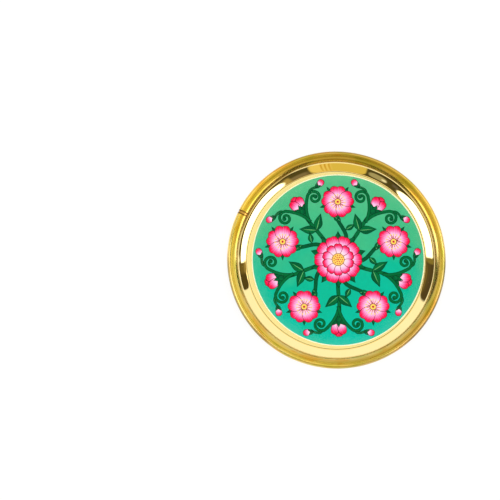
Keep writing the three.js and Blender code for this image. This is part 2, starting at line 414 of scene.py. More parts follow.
# Tarnish with painted shade on the seam, the painted dark reflection line, the warmer foot line, and the
# painted dark lip.
for share, colour in ((masks["seam"], "#D2B668"), (painted_dark_line, "#5E4A1C"), (foot_line, "#F0CF7C"),
                      (painted_dark_lip, "#B59A58")):
    tone = add_node(tree, "ShaderNodeMix", {"Factor": share, "A": tone, "B": linear(colour)},
                    data_type="RGBA").outputs["Result"]
gloss = add_node(tree, "ShaderNodeMapRange", {"Value": haze, "From Min": NOISE_LOW,
                                              "From Max": NOISE_HIGH, "To Min": 0.02, "To Max": 0.05})
marks = add_node(tree, "ShaderNodeMath", {0: radius, 1: 1 / TURNING_MARK}, operation="MULTIPLY")
marks = add_node(tree, "ShaderNodeTexNoise", {"W": marks, "Scale": 1.0, "Detail": 3.0},
                 noise_dimensions="1D")
lay_metal(tree, tone, gloss, marks, 0.05, TURNING_DEPTH)
pan_mesh.materials.append(brass)

# The underside is left as it came off the spinning chuck: the same brass, duller and lightly stained, with
# plain turning rings.
CHUCK_RING = 0.9 * MM
CHUCK_RING_DEPTH = 0.05 * MM
STAIN = 40 * MM

chuck_side = new_material("spun_brass_underside")
tree = chuck_side.node_tree
radius = round_the_axis(tree)[2]
chuck_rings = add_node(tree, "ShaderNodeMath", {0: radius, 1: 1 / CHUCK_RING}, operation="MULTIPLY")
chuck_rings = add_node(tree, "ShaderNodeTexNoise", {"W": chuck_rings, "Scale": 1.0, "Detail": 4.0,
                                                    "Roughness": 0.7}, noise_dimensions="1D")
gloss = add_node(tree, "ShaderNodeMapRange", {"Value": chuck_rings, "From Min": NOISE_LOW,
                                              "From Max": NOISE_HIGH, "To Min": 0.2, "To Max": 0.34})
_, tone = mottled(tree, STAIN, 5.0, 0.5, ("#DDBE6C", "#EFD58A"))
lay_metal(tree, tone, gloss, chuck_rings, 0.25, CHUCK_RING_DEPTH)
pan_mesh.materials.append(chuck_side)
pan_mesh.polygons.foreach_set("material_index", [int(band < len(underside) - 1) for band in pan_bands])
finish_piece(pan_mesh, "plate_pan")


# The rim: a brass strip rolled to a tube with its open side to the pan, bent to a hoop round the flange and
# pressed shut on it. Its two ends stop short of each other, on the plate's upper left.
BEAD_WALL = 0.6 * MM
BEAD_LIFT = 0.8 * MM
BEAD_FULLNESS = 1.42
BEAD_KNEE = 1.05
BEAD_BULGE = 1.4
MOUTH_CLEARANCE = 0.3 * MM
JOINT_ANGLE = math.radians(153.75)
COLLAR_WIDTH = 1.9 * MM
END_CLEARANCE = 0.3 * MM
SECTION_STEPS = 48

rim_height = flange_middle + BEAD_LIFT
mouth_height = SHEET_THICKNESS + 2 * MOUTH_CLEARANCE
half_gap = (COLLAR_WIDTH / 2 + END_CLEARANCE) / rim_radius
hoop_turn = math.tau - 2 * half_gap


def pressed_in(share, fullness):
    """How far out the tube's inner side lies, as a share of its radius: fuller, then turned down."""
    wide = share * fullness
    if wide < BEAD_KNEE:
        return wide
    turned_down = BEAD_BULGE - BEAD_KNEE
    return BEAD_BULGE - turned_down * math.exp((BEAD_KNEE - wide) / turned_down)


def tube_section(radius, wall, steps, fullness=1.0):
    """The closed outline of a tube that is open towards the plate's axis, about the tube's own middle.

    Its outer face comes first, from the lower lip over the top to the upper one, then its inner face back.
    """
    outline = []
    for size, count in ((radius, steps), (radius - wall, steps // 2)):
        lower_lip = math.asin((mouth_height / 2 + BEAD_LIFT) / size) - math.pi
        upper_lip = math.pi - math.asin((mouth_height / 2 - BEAD_LIFT) / size)
        arc = [lower_lip + (upper_lip - lower_lip) * i / count for i in range(count + 1)]
        points = [(size * math.cos(a), size * math.sin(a)) for a in arc]
        if size == radius and fullness > 1:
            points = [(-size * pressed_in(-x / size, fullness), y) if a > math.pi / 2 else (x, y)
                      for a, (x, y) in zip(arc, points)]
        outline += points if size == radius else points[::-1]
    return outline


def swept_hoop(name, section, start_angle, turn, steps, finish):
    """Geometry nodes sweep a section along the rim's circle, from one side of the joint round to the other.

    Each point keeps its distance along the hoop and around the section, for the finish to follow.
    """
    outline = bpy.data.meshes.new(name + "_section")
    # The swept curve's normals point up and lay a section's y along -z, so the section goes in upside down.
    outline.from_pydata([(x, -y, 0) for x, y in reversed(section)],
                        [(i, (i + 1) % len(section)) for i in range(len(section))], [])
    outline_object = bpy.data.objects.new(name + "_section", outline)
    group = bpy.data.node_groups.new(name + "_sweep", "GeometryNodeTree")
    inputs = {"Radius": rim_radius, "Start": start_angle, "Sweep": turn, "Height": rim_height,
              "Section": outline_object}
    for input_name in inputs:
        kind = "NodeSocketObject" if input_name == "Section" else "NodeSocketFloat"
        group.interface.new_socket(input_name, in_out="INPUT", socket_type=kind)
    group.interface.new_socket("Geometry", in_out="OUTPUT", socket_type="NodeSocketGeometry")
    given = add_node(group, "NodeGroupInput")
    arc = add_node(group, "GeometryNodeCurveArc", {
        "Resolution": steps + 1, "Radius": given.outputs["Radius"], "Start Angle": given.outputs["Start"],
        "Sweep Angle": given.outputs["Sweep"]})
    lift = add_node(group, "ShaderNodeCombineXYZ", {"Z": given.outputs["Height"]})
    raised = add_node(group, "GeometryNodeSetPosition", {"Geometry": arc.outputs["Curve"], "Offset": lift})
    upright = add_node(group, "GeometryNodeSetCurveNormal", {"Curve": raised}, mode="Z_UP")
    profile = add_node(group, "GeometryNodeObjectInfo", {"Object": given.outputs["Section"]})
    profile = add_node(group, "GeometryNodeMeshToCurve", {"Mesh": profile.outputs["Geometry"]})
    measured = []
    for attribute, curve in (("along", upright), ("around", profile)):
        distance = add_node(group, "GeometryNodeSplineParameter")
        measured.append(add_node(group, "GeometryNodeStoreNamedAttribute", {
            "Geometry": curve, "Name": attribute, "Value": distance.outputs["Length"]},
            data_type="FLOAT", domain="POINT"))
    swept = add_node(group, "GeometryNodeCurveToMesh", {
        "Curve": measured[0], "Profile Curve": measured[1], "Fill Caps": True})
    real = add_node(group, "GeometryNodeRealizeInstances", {"Geometry": swept})
    finished = add_node(group, "GeometryNodeSetMaterial", {"Geometry": real, "Material": finish})
    add_node(group, "NodeGroupOutput", {"Geometry": finished})
    holder = bpy.data.objects.new(name + "_holder", bpy.data.meshes.new(name + "_holder"))
    bpy.context.scene.collection.objects.link(holder)
    modifier = holder.modifiers.new("sweep", "NODES")
    modifier.node_group = group
    for item in group.interface.items_tree:
        if item.in_out == "INPUT":
            modifier[item.identifier] = inputs[item.name]
    evaluated = holder.evaluated_get(bpy.context.evaluated_depsgraph_get())
    mesh = bpy.data.meshes.new_from_object(evaluated)
    mesh.name = name
    holder.modifiers.remove(modifier)
    bpy.data.objects.remove(holder)
    bpy.data.objects.remove(outline_object)
    return mesh


# The rim's brass is drawn strip, buffed and streaked along its length, with orange and olive tints where it
# was heated to bend it. Its tones carry painted light and shade by the lean, a point's angle about the tube's
# middle (0 on the crest, less towards the pan and more outwards): deep gold on the crest, and a painted
# highlight brightest on its outer shoulder.
DEGREE = math.radians(1)
PAINTED_LIGHT_BY_LEAN = [
    (-90, "#C4A862"), (-62, "#D2BC78"), (-48, "#C4AC62"), (-30, "#BEA24A"), (-17, "#B0953C"),
    (-8, "#BC9E3D"), (3, "#C4A943"), (10, "#B4973D"), (17, "#C6AA50"), (21, "#EACE70"), (26, "#F6D680"),
    (32, "#E4C674"), (42, "#D2B468"), (56, "#DCC27C"), (90, "#E6D092")]
STREAK_LENGTH = 80 * MM
STREAK_WIDTH = 0.6 * MM
STREAK_DEPTH = 0.03 * MM
TINT_LENGTH = 26 * MM
TINT_WIDTH = 6 * MM
ORANGE_TINT = (1.0, 0.80, 0.52)
OLIVE_TINT = (0.80, 0.92, 0.62)
WARM_TINT = (1.03, 0.91, 0.55)
ROSY_TINT = (1.0, 0.86, 0.82)
BURNT_WIDTH = 0.35 * MM
BURN_FADES_AT = 1.0 * MM


def lay_ramp(ramp, stops):
    """Fills a new colour ramp from (position, colour) stops, the first of them at 0 and the last at 1."""
    for position, colour in stops[1:-1]:
        ramp.color_ramp.elements.new(position).color = linear(colour)
    ramp.color_ramp.elements[0].color = linear(stops[0][1])
    ramp.color_ramp.elements[-1].color = linear(stops[-1][1])


strip_brass = new_material("drawn_rim_brass")
tree = strip_brass.node_tree
place, level, radius = round_the_axis(tree)
sides = add_node(tree, "ShaderNodeSeparateXYZ", {0: place})
along = add_node(tree, "ShaderNodeAttribute", attribute_name="along").outputs["Fac"]
around = add_node(tree, "ShaderNodeAttribute", attribute_name="around").outputs["Fac"]
out = add_node(tree, "ShaderNodeMath", {0: radius, 1: rim_radius}, operation="SUBTRACT")
up = add_node(tree, "ShaderNodeMath", {0: sides.outputs["Z"], 1: rim_height}, operation="SUBTRACT")
lean = add_node(tree, "ShaderNodeMath", {0: out, 1: up}, operation="ARCTAN2")
lean_share = add_node(tree, "ShaderNodeMapRange", {"Value": lean, "From Min": -math.pi / 2,
                                                   "From Max": math.pi / 2})
# The ramp paints light and shade by lean: a painted highlight on the outer shoulder, painted shade on the
# inner flank.
tone = add_node(tree, "ShaderNodeValToRGB", {"Fac": lean_share})
lay_ramp(tone, [((degrees + 90) / 180, colour) for degrees, colour in PAINTED_LIGHT_BY_LEAN])


def along_rim(length, width, detail, offset):
    """Noise drawn out along the rim: its grain is length by width."""
    lengthwise = add_node(tree, "ShaderNodeMath", {0: along, 1: 1 / length, 2: offset},
                          operation="MULTIPLY_ADD")
    crosswise = add_node(tree, "ShaderNodeMath", {0: around, 1: 1 / width}, operation="MULTIPLY")
    grain = add_node(tree, "ShaderNodeCombineXYZ", {"X": lengthwise, "Y": crosswise})
    return add_node(tree, "ShaderNodeTexNoise", {"Vector": grain, "Scale": 1.0, "Detail": detail},
                    noise_dimensions="2D").outputs["Fac"]


# Heat tints: scattered orange and olive patches. Over them, a warm cast over the upper half and a rosy one at
# the lower right.
tints = [(along_rim(TINT_LENGTH, TINT_WIDTH, 2.0, 3.0), 0.54, 0.70, ORANGE_TINT),
         (along_rim(TINT_LENGTH, TINT_WIDTH, 2.0, 17.0), 0.50, 0.68, OLIVE_TINT)]
for heading, start, end, tint in ((90 * DEGREE, 0.05, 0.55, WARM_TINT),
                                  (322 * DEGREE, 0.94, 0.99, ROSY_TINT)):
    facing = (math.cos(heading), math.sin(heading), 0)
    towards = add_node(tree, "ShaderNodeVectorMath", {0: level, 1: facing}, operation="DOT_PRODUCT")
    tints.append((towards.outputs["Value"], start * rim_radius, end * rim_radius, tint))
colour = tone.outputs["Color"]
for value, start, end, tint in tints:
    cover = add_node(tree, "ShaderNodeMapRange", {"Value": value, "From Min": start, "From Max": end},
                     interpolation_type="SMOOTHSTEP")
    tinted = add_node(tree, "ShaderNodeVectorMath", {0: colour, 1: tint}, operation="MULTIPLY")
    colour = add_node(tree, "ShaderNodeMix", {"Factor": cover, "A": colour, "B": tinted},
                      data_type="RGBA").outputs["Result"]

# Masks over the rim, for its painted light and shade and its scuffed side. Each part of the rim has a start
# and an end, in units of the rim's radius across the plate or in degrees of lean across the bead, and goes
# from its low to its high there.
beside = add_node(tree, "ShaderNodeMath", {0: sides.outputs["Y"]}, operation="ABSOLUTE")
masks = {}
for part, value, unit, start, end, low, high, fade in (
        ("left", sides.outputs["X"], rim_radius, 0.2, -0.95, 0.0, 0.48, "LINEAR"),
        ("right", sides.outputs["X"], rim_radius, 0.6, 1.0, 0.0, 0.26, "LINEAR"),
        ("top", sides.outputs["Y"], rim_radius, 0.5, 1.0, 0.0, 0.34, "LINEAR"),
        ("sides", beside, rim_radius, 0.72, 0.90, 1.0, 0.0, "SMOOTHSTEP"),
        ("upper half", sides.outputs["Y"], rim_radius, -0.04, 0.10, 0.0, 1.0, "SMOOTHSTEP"),
        ("lower half", sides.outputs["Y"], rim_radius, 0.14, -0.10, 0.0, 1.0, "SMOOTHSTEP"),
        ("off the mouth", lean, DEGREE, -72, -48, 0.0, 1.0, "SMOOTHSTEP"),
        ("off the inner flank", lean, DEGREE, -55, -20, 0.05, 1.0, "SMOOTHSTEP"),
        ("inner flank", lean, DEGREE, -45.84, -60.16, 0.0, 1.0, "SMOOTHSTEP"),
        ("outer flank", lean, DEGREE, 6.88, 20.63, 0.0, 1.0, "SMOOTHSTEP"),
        ("scuffed side", lean, DEGREE, 12, 32, 0.0, 0.24, "LINEAR")):
    masks[part] = add_node(tree, "ShaderNodeMapRange", {
        "Value": value, "From Min": start * unit, "From Max": end * unit, "To Min": low, "To Max": high},
        interpolation_type=fade, label=part)

# Painted light and shade: the crest and the outer side are painted brighter on the left and right, and darker
# at the top. Two flanks are painted darker on both sides: the inner one on the upper half, the outer one on
# the lower half.
streaks = along_rim(STREAK_LENGTH, STREAK_WIDTH, 3.0, 0.0)
shade = add_node(tree, "ShaderNodeMapRange", {"Value": streaks, "From Min": NOISE_LOW, "From Max": NOISE_HIGH,
                                              "To Min": 0.80, "To Max": 1.14})
# Painted side light: brighter on the left and right, darker at the top away from the mouth.
top_darkening = add_node(tree, "ShaderNodeMath", {0: masks["top"], 1: masks["off the mouth"]}, operation="MULTIPLY")
top_darkening = add_node(tree, "ShaderNodeMath", {0: 1.0, 1: top_darkening}, operation="SUBTRACT")
side_brightening = add_node(tree, "ShaderNodeMath", {0: masks["left"], 1: masks["right"]}, operation="ADD")
side_brightening = add_node(tree, "ShaderNodeMath", {0: side_brightening, 1: masks["off the inner flank"], 2: 1.0},
                    operation="MULTIPLY_ADD")
painted_side_light = add_node(tree, "ShaderNodeMath", {0: side_brightening, 1: top_darkening}, operation="MULTIPLY")
shades = [shade, painted_side_light]
# Painted shade on the inner flank at the upper sides and the outer flank at the lower sides.
for flank, half, shaded_to in (("inner flank", "upper half", 0.58), ("outer flank", "lower half", 0.45)):
    painted_flank_shade = add_node(tree, "ShaderNodeMath", {0: masks[half], 1: masks["sides"]}, operation="MULTIPLY")
    painted_flank_shade = add_node(tree, "ShaderNodeMath", {0: painted_flank_shade, 1: masks[flank]}, operation="MULTIPLY")
    shades.append(add_node(tree, "ShaderNodeMapRange", {"Value": painted_flank_shade, "To Min": 1.0,
                                                        "To Max": shaded_to}))
for share in shades:
    colour = add_node(tree, "ShaderNodeVectorMath", {0: colour, "Scale": share}, operation="SCALE")

# A burnt line runs beside the joint, and the outer side is scuffed duller.
to_joint = add_node(tree, "ShaderNodeMath", {0: hoop_turn * rim_radius, 1: along}, operation="SUBTRACT")
to_joint = add_node(tree, "ShaderNodeMath", {0: to_joint, 1: along}, operation="MINIMUM")
burnt = add_node(tree, "ShaderNodeMapRange", {
    "Value": to_joint, "From Min": BURNT_WIDTH, "From Max": BURN_FADES_AT, "To Min": 1.0,
    "To Max": 0.0}, interpolation_type="SMOOTHSTEP")
colour = add_node(tree, "ShaderNodeMix", {"Factor": burnt, "A": colour, "B": linear("#6B4417")},
                  data_type="RGBA").outputs["Result"]
gloss = add_node(tree, "ShaderNodeMapRange", {"Value": streaks, "From Min": NOISE_LOW, "From Max": NOISE_HIGH,
                                              "To Min": 0.14, "To Max": 0.22})
gloss = add_node(tree, "ShaderNodeMath", {0: gloss, 1: masks["scuffed side"]}, operation="ADD")
lay_metal(tree, colour, gloss, streaks, 0.12, STREAK_DEPTH)

bead_section = tube_section(BEAD_RADIUS, BEAD_WALL, SECTION_STEPS, BEAD_FULLNESS)
rim_mesh = swept_hoop("rim_hoop", bead_section, JOINT_ANGLE + half_gap, hoop_turn, TURN_STEPS, strip_brass)
finish_piece(rim_mesh, "rim_ring")


# The ferrule: a short brass joining piece in the rim's gap. Its collar stands between the hoop's two ends, a
# hair below the bead, and a thinner spigot runs into each end of the tube. Cast, and only roughly polished.
COLLAR_RECESS = 0.15 * MM
COLLAR_EASE = 0.12 * MM
SPIGOT_LENGTH = 6 * MM
SPIGOT_WALL = 0.5 * MM
SPIGOT_CLEARANCE = 0.3 * MM

spigot_size = BEAD_RADIUS - BEAD_WALL - SPIGOT_CLEARANCE
collar_size = BEAD_RADIUS - COLLAR_RECESS
bore = spigot_size - SPIGOT_WALL
collar_end = COLLAR_WIDTH / 2
spigot_end = collar_end + END_CLEARANCE + SPIGOT_LENGTH
half_stations = [(spigot_end, spigot_size), (collar_end, spigot_size),
                 (collar_end, collar_size - COLLAR_EASE), (collar_end - COLLAR_EASE, collar_size),
                 (collar_end / 2, collar_size)]
stations = [(-place, size) for place, size in half_stations] + [(0, collar_size)] + half_stations[::-1]
lofted = bmesh.new()
rings = []
for place, size in stations:
    turn = JOINT_ANGLE + place / rim_radius
    ring = []
    for x, y in tube_section(size, size - bore, SECTION_STEPS, BEAD_FULLNESS if size > spigot_size else 1.0):
        out = rim_radius + x
        ring.append(lofted.verts.new((out * math.cos(turn), out * math.sin(turn), rim_height + y)))
    rings.append(ring)
for before, after in zip(rings, rings[1:]):
    for i in range(len(before)):
        j = (i + 1) % len(before)
        lofted.faces.new((before[i], before[j], after[j], after[i]))
# At both ends, two steps of the outer face meet one of the inner face.
for ring in (rings[0], rings[-1]):
    for i in range(SECTION_STEPS // 2):
        first, second, third = ring[2 * i:2 * i + 3]
        near, far = ring[-1 - i], ring[-2 - i]
        lofted.faces.new((first, second, far, near))
        lofted.faces.new((second, third, far))
bmesh.ops.remove_doubles(lofted, verts=lofted.verts, dist=1e-7)
bmesh.ops.recalc_face_normals(lofted, faces=lofted.faces)
ferrule_mesh = bpy.data.meshes.new("joint_ferrule")
lofted.to_mesh(ferrule_mesh)
lofted.free()

# Cast brass, filed, and left duller and browner than the tube.
FILED_GRAIN = 1.0 * MM
FILED_DEPTH = 0.04 * MM

cast_brass = new_material("filed_cast_brass")
tree = cast_brass.node_tree
filed, tone = mottled(tree, FILED_GRAIN, 4.0, 0.7, ("#B98232", "#DDAE55"))
lay_metal(tree, tone, 0.3, filed, 0.3, FILED_DEPTH)
ferrule_mesh.materials.append(cast_brass)
finish_piece(ferrule_mesh, "rim_joint_ferrule")


# The picture: a round self-adhesive film on the pan's floor, laid a little off the middle, with a white cut
# edge. It is printed with a generic rosette: a double flower in the middle, and a ring of blossoms and buds
# on scrolling stems, five times round.
FILM_OFFSET = 2.0 * MM
FILM_MARGIN = 1.0 * MM
FILM_THICKNESS = 0.25 * MM
WHITE_EDGE = 0.85 * MM
LINE_WIDTH = 0.5 * MM
LONGEST_CORNER = 0.45
REPEATS = 5
BUD_DEGREES = 180 / REPEATS
BUD_HEADING = math.radians(BUD_DEGREES)
SCROLL_STEPS = 36
CAP_STEPS = 5
ROUND_STEPS = 240

film_radius = floor_radius - FILM_OFFSET - FILM_MARGIN
film_top = SHEET_THICKNESS + FILM_THICKNESS


def polar(radius, degrees):
    """A point of the picture as a complex number, from its millimetres out and its angle."""
    return cmath.rect(radius * MM, math.radians(degrees))


def curve(start, start_handle, end_handle, end, steps):
    """Points on a cubic curve, both ends among them."""
    points = []
    for i in range(steps + 1):
        t = i / steps
        points.append((1 - t) ** 3 * start + 3 * t * (1 - t) ** 2 * start_handle
                      + 3 * t * t * (1 - t) * end_handle + t ** 3 * end)
    return points


def petal_outline(length, width, notch):
    """A petal along +x: narrow at its base, broad and round at its end, where a notch may be cut."""
    half = width / 2
    rising = curve(0, complex(0.10 * length, 0.55 * half), complex(0.36 * length, half),
                   complex(0.64 * length, half), 8)
    closing = curve(complex(0.64 * length, half), complex(0.90 * length, half),
                    complex(1.03 * length, 0.50 * half), complex((1 - notch) * length, 0), 9)
    left_side = rising + closing[1:]
    return [p.conjugate() for p in left_side] + left_side[-2:0:-1]


def leaf_outline(length, width, belly=0.42):
    """A leaf along +x, pointed at both ends and broadest at belly, a share of its length."""
    half = width / 2
    rising = curve(0, complex(0.12 * length, 0.55 * half), complex(belly * length * 0.6, half),
                   complex(belly * length, half), 7)
    closing = curve(complex(belly * length, half), complex((0.3 + 0.7 * belly) * length, half),
                    complex(0.86 * length, 0.22 * half), length, 8)
    left_side = rising + closing[1:]
    return [p.conjugate() for p in left_side] + left_side[-2:0:-1]


def disc_outline(radius, steps=16):
    """A round dot about its own middle."""
    return [cmath.rect(radius, math.tau * i / steps) for i in range(steps)]


def stem_outline(path, start_width, end_width):
    """A band along a path, its width changing evenly from one end to the other, its far end round."""
    left, right = [], []
    for i, point in enumerate(path):
        ahead = path[min(i + 1, len(path) - 1)] - path[max(i - 1, 0)]
        half = (start_width + (end_width - start_width) * i / (len(path) - 1)) / 2
        across = ahead / abs(ahead) * 1j * half
        left.append(point + across)
        right.append(point - across)
    cap = [path[-1] + (right[-1] - path[-1]) * cmath.rect(1, math.pi * i / CAP_STEPS)
           for i in range(1, CAP_STEPS)]
    return right + cap + left[::-1]


def grown(outline, distance):
    """The outline moved outwards by a distance, for the dark line drawn round a shape."""
    moved = []
    for i, point in enumerate(outline):
        before, after = point - outline[i - 1], outline[(i + 1) % len(outline)] - point
        if abs(before) < 1e-9 or abs(after) < 1e-9:
            continue
        normals = [-1j * side / abs(side) for side in (before, after)]
        joined = normals[0] + normals[1]
        reach_out = distance / max(abs(joined) / 2, LONGEST_CORNER)
        moved.append(point + joined / abs(joined) * reach_out)
    return moved


def drawn(ink, outline, base=0j, heading=0.0, length=MM, line=True):
    """One printed shape with its dark outline under it: ink, outline, base, direction and length."""
    turn = cmath.rect(1, heading)
    shape = [base + p * turn for p in outline]
    line_ink = "dark_leaf_ink" if ink == "leaf_ink" else "outline_ink"
    under = [(line_ink, grown(shape, LINE_WIDTH), base, turn, length)] if line else []
    return under + [(ink, shape, base, turn, length)]


def leaf(base, heading, length, width, belly=0.42):
    """A green leaf with its dark outline."""
    return drawn("leaf_ink", leaf_outline(length, width, belly), base, heading, length)


def petal(base, heading, length, width, notch=0.0):
    """A petal with its dark outline."""
    return drawn("petal_ink", petal_outline(length, width, notch), base, heading, length)


def rib(base, heading, length, width):
    """The pale rib on a leaf, without an outline."""
    return drawn("rib_ink", leaf_outline(length, width), base, heading, length, line=False)


def spray(side):
    """The shapes of half a repeat, from the bud's stem to the blossom. side is 1 or -1."""
    def at(radius, degrees):
        return polar(radius, BUD_DEGREES + side * degrees)

    scroll_middle = at(62.5, -15.5)
    scroll = [scroll_middle + cmath.rect((6.6 - 5.2 * t / SCROLL_STEPS) * MM,
                                         BUD_HEADING + side * math.radians(42 - 13.5 * t))
              for t in range(SCROLL_STEPS + 1)]
    reach_in = curve(at(44, 0.5), at(50, -1), at(57, -3), scroll[0], 12)
    made = drawn("leaf_ink", stem_outline(reach_in[:-1] + scroll, 2.2 * MM, 1.3 * MM))
    made += drawn("leaf_ink", disc_outline(1.5 * MM), scroll[-1])
    twig = curve(at(69.2, -13.5), at(71, -14), at(72, -17.5), at(71.0, -21), 8)
    made += drawn("leaf_ink", stem_outline(twig, 1.6 * MM, 1.4 * MM))
    side_bud = BUD_HEADING + side * math.radians(-78)
    made += petal(at(71.2, -20), side_bud, 8.6 * MM, 5.4 * MM)
    for tilt in (-0.5, 0.5):
        made += leaf(at(71.2, -19.6), side_bud + tilt, 4.4 * MM, 1.9 * MM)
    foot_leaf = BUD_HEADING - side * math.radians(50)
    made += leaf(at(34, 0), foot_leaf, 15.5 * MM, 7.2 * MM)
    made += rib(at(34, 0), foot_leaf, 13 * MM, 0.6 * MM)
    return made


def bud():
    """The shapes of a bud and its stem, pointing outwards between two blossoms."""
    path = curve(polar(17, BUD_DEGREES), polar(30, BUD_DEGREES - 3), polar(42, BUD_DEGREES + 3),
                 polar(57, BUD_DEGREES), 20)
    made = drawn("leaf_ink", stem_outline(path, 2.8 * MM, 2.4 * MM))
    made += petal(polar(56, BUD_DEGREES), BUD_HEADING, 15.5 * MM, 9 * MM)
    for tilt in (-0.34, 0.34):
        made += petal(polar(56, BUD_DEGREES), BUD_HEADING + tilt, 14 * MM, 7.6 * MM)
    for tilt in (-0.72, 0.72, 0):
        made += leaf(polar(55.2, BUD_DEGREES), BUD_HEADING + tilt, 7.4 * MM, 3.4 * MM)
    made += drawn("leaf_ink", disc_outline(2.3 * MM), polar(55.8, BUD_DEGREES))
    return made


def blossom(middle, heading, size):
    """The shapes of a five-petalled blossom with sepals behind and a ring of stamens round its middle."""
    made = []
    fifth = math.tau / 5
    for i in range(5):
        made += leaf(middle, heading + (i + 0.5) * fifth, size * 1.08, size * 0.3, 0.6)
    for i in range(5):
        made += petal(middle, heading + i * fifth, size, size * 0.9, 0.13)
    for i in range(15):
        away = heading + i * fifth / 3
        made += drawn("stamen_ink", leaf_outline(size * 0.46, 0.7 * MM, 0.6), middle, away, line=False)
        made += drawn("pollen_ink", disc_outline(0.7 * MM, 10), middle + cmath.rect(size * 0.44, away),
                      line=False)
    made += drawn("pollen_ink", disc_outline(size * 0.17), middle)
    made += drawn("seed_ink", disc_outline(size * 0.07), middle, line=False)
    return made


# One repeat: a bud, a spray on either side of it, and a blossom on its own leafy stem.
repeat_shapes = bud() + spray(1) + spray(-1)
main_stem = curve(polar(15, -20), polar(31, -30), polar(37, 14), polar(52, 0), 20)
repeat_shapes += drawn("leaf_ink", stem_outline(main_stem, 2.8 * MM, 2.4 * MM))
for base, away in ((polar(29.5, -15), math.radians(-62)), (polar(36.5, -3.5), math.radians(52))):
    repeat_shapes += leaf(base, away, 9 * MM, 4.4 * MM)
    repeat_shapes += rib(base, away, 7.5 * MM, 0.5 * MM)
repeat_shapes += blossom(polar(54.5, 0), 0.0, 15.5 * MM)

shapes = []
for i in range(REPEATS):
    turn = cmath.rect(1, math.tau * (0.25 + i / REPEATS))
    for ink, outline, base, direction, length in repeat_shapes:
        shapes.append((ink, [p * turn for p in outline], base * turn, direction * turn, length))

# The double flower in the middle: leaves, two rings of petals, and a seed head.
spokes = 2 * REPEATS
spoke_turn = math.tau / spokes
for i in range(spokes):
    shapes += leaf(polar(13, (i + 0.5) * BUD_DEGREES), (i + 0.5) * spoke_turn, 13 * MM, 6 * MM, 0.5)
for i in list(range(0, spokes, 2)) + list(range(1, spokes, 2)):
    shapes += petal(polar(7, i * BUD_DEGREES), i * spoke_turn, 15.5 * MM, 11.6 * MM, 0.07)
for i in range(spokes):
    shapes += petal(polar(4.5, (i + 0.5) * BUD_DEGREES), (i + 0.5) * spoke_turn, 10.5 * MM, 7.4 * MM, 0.07)
shapes += drawn("pollen_ink", disc_outline(5.4 * MM, 48))
for ring, count, size in ((4.0, 11, 0.62), (2.1, 6, 0.62), (0.0, 1, 0.8)):
    for i in range(count):
        shapes += drawn("seed_ink", disc_outline(size * MM, 12), polar(ring, 360 * i / count), line=False)

# Every shape's outline goes into one flat partition, and each cell of it takes the ink that was laid last.
# The UV map gives each cell its shape's own place: along the petal or leaf, and across it.
TRIANGLES_INSIDE = 1
JOINED_WITHIN = 1e-7
INKS = ["film_white", "ground_ink", "outline_ink", "petal_ink", "leaf_ink", "dark_leaf_ink", "rib_ink",
        "stamen_ink", "pollen_ink", "seed_ink"]

ground = [("film_white", disc_outline(film_radius, ROUND_STEPS), 0j, 1 + 0j, film_radius),
          ("ground_ink", disc_outline(film_radius - WHITE_EDGE, ROUND_STEPS), 0j, 1 + 0j, film_radius)]
shapes = ground + shapes
corners, outlines = [], []
for _, outline, _, _, _ in shapes:
    outlines.append(list(range(len(corners), len(corners) + len(outline))))
    corners += [Vector((p.real, p.imag)) for p in outline]
points, _, triangles, _, _, owners = delaunay_2d_cdt(corners, [], outlines, TRIANGLES_INSIDE, JOINED_WITHIN)
film_build = bmesh.new()
film_uv = film_build.loops.layers.uv.new("shape_place")
film_verts = [film_build.verts.new((p.x + FILM_OFFSET, p.y, film_top)) for p in points]
for triangle, covering in zip(triangles, owners):
    if not covering:
        continue
    ink, _, base, direction, length = shapes[max(covering)]
    face = film_build.faces.new([film_verts[i] for i in triangle])
    face.material_index = INKS.index(ink)
    for loop in face.loops:
        place = (complex(loop.vert.co.x - FILM_OFFSET, loop.vert.co.y) - base) / direction / length
        loop[film_uv].uv = (place.real, place.imag)
# The cut edge falls from the picture's outermost points to the pan's floor, and a flat base closes the film.
top_ring = sorted((vert for vert in film_verts if vert.is_boundary),
                  key=lambda vert: math.atan2(vert.co.y, vert.co.x - FILM_OFFSET))
base_ring = [film_build.verts.new((vert.co.x, vert.co.y, SHEET_THICKNESS)) for vert in top_ring]
for i in range(len(top_ring)):
    j = (i + 1) % len(top_ring)
    film_build.faces.new((top_ring[i], base_ring[i], base_ring[j], top_ring[j]))
film_build.faces.new(base_ring[::-1])
bmesh.ops.recalc_face_normals(film_build, faces=film_build.faces)
film_mesh = bpy.data.meshes.new("picture_film")
film_build.to_mesh(film_mesh)
film_build.free()

# White vinyl shows at the cut edge, very slightly mottled.
INK_ROUGHNESS = 0.5
MOTTLE = 2.5 * MM


def ink_material(name, colour):
    """A matt ink printed on vinyl film, its colour given by a node, a socket or a value."""
    material = bpy.data.materials[name]
    body = add_node(material.node_tree, "ShaderNodeBsdfPrincipled", {
        "Base Color": colour, "Roughness": INK_ROUGHNESS, "Specular IOR Level": 0.0})
    add_node(material.node_tree, "ShaderNodeOutputMaterial", {"Surface": body})


tree = new_material("film_white").node_tree
_, tone = mottled(tree, MOTTLE, 3.0, 0.5, ("#E6E3BC", "#F2EECB"))
ink_material("film_white", tone)

# The ground is a hand-painted wash, as such pictures are: light green at the top to teal at the bottom, in
# soft clouds and brush strokes.
CLOUD = 34 * MM
CLOUD_DRIFT = 0.6
BRUSH = 3 * MM
GROUND_TONES = [(0.0, "#4CAE7C"), (0.35, "#3AAC7C"), (0.62, "#0AAB8A"), (1.0, "#00AF9A")]

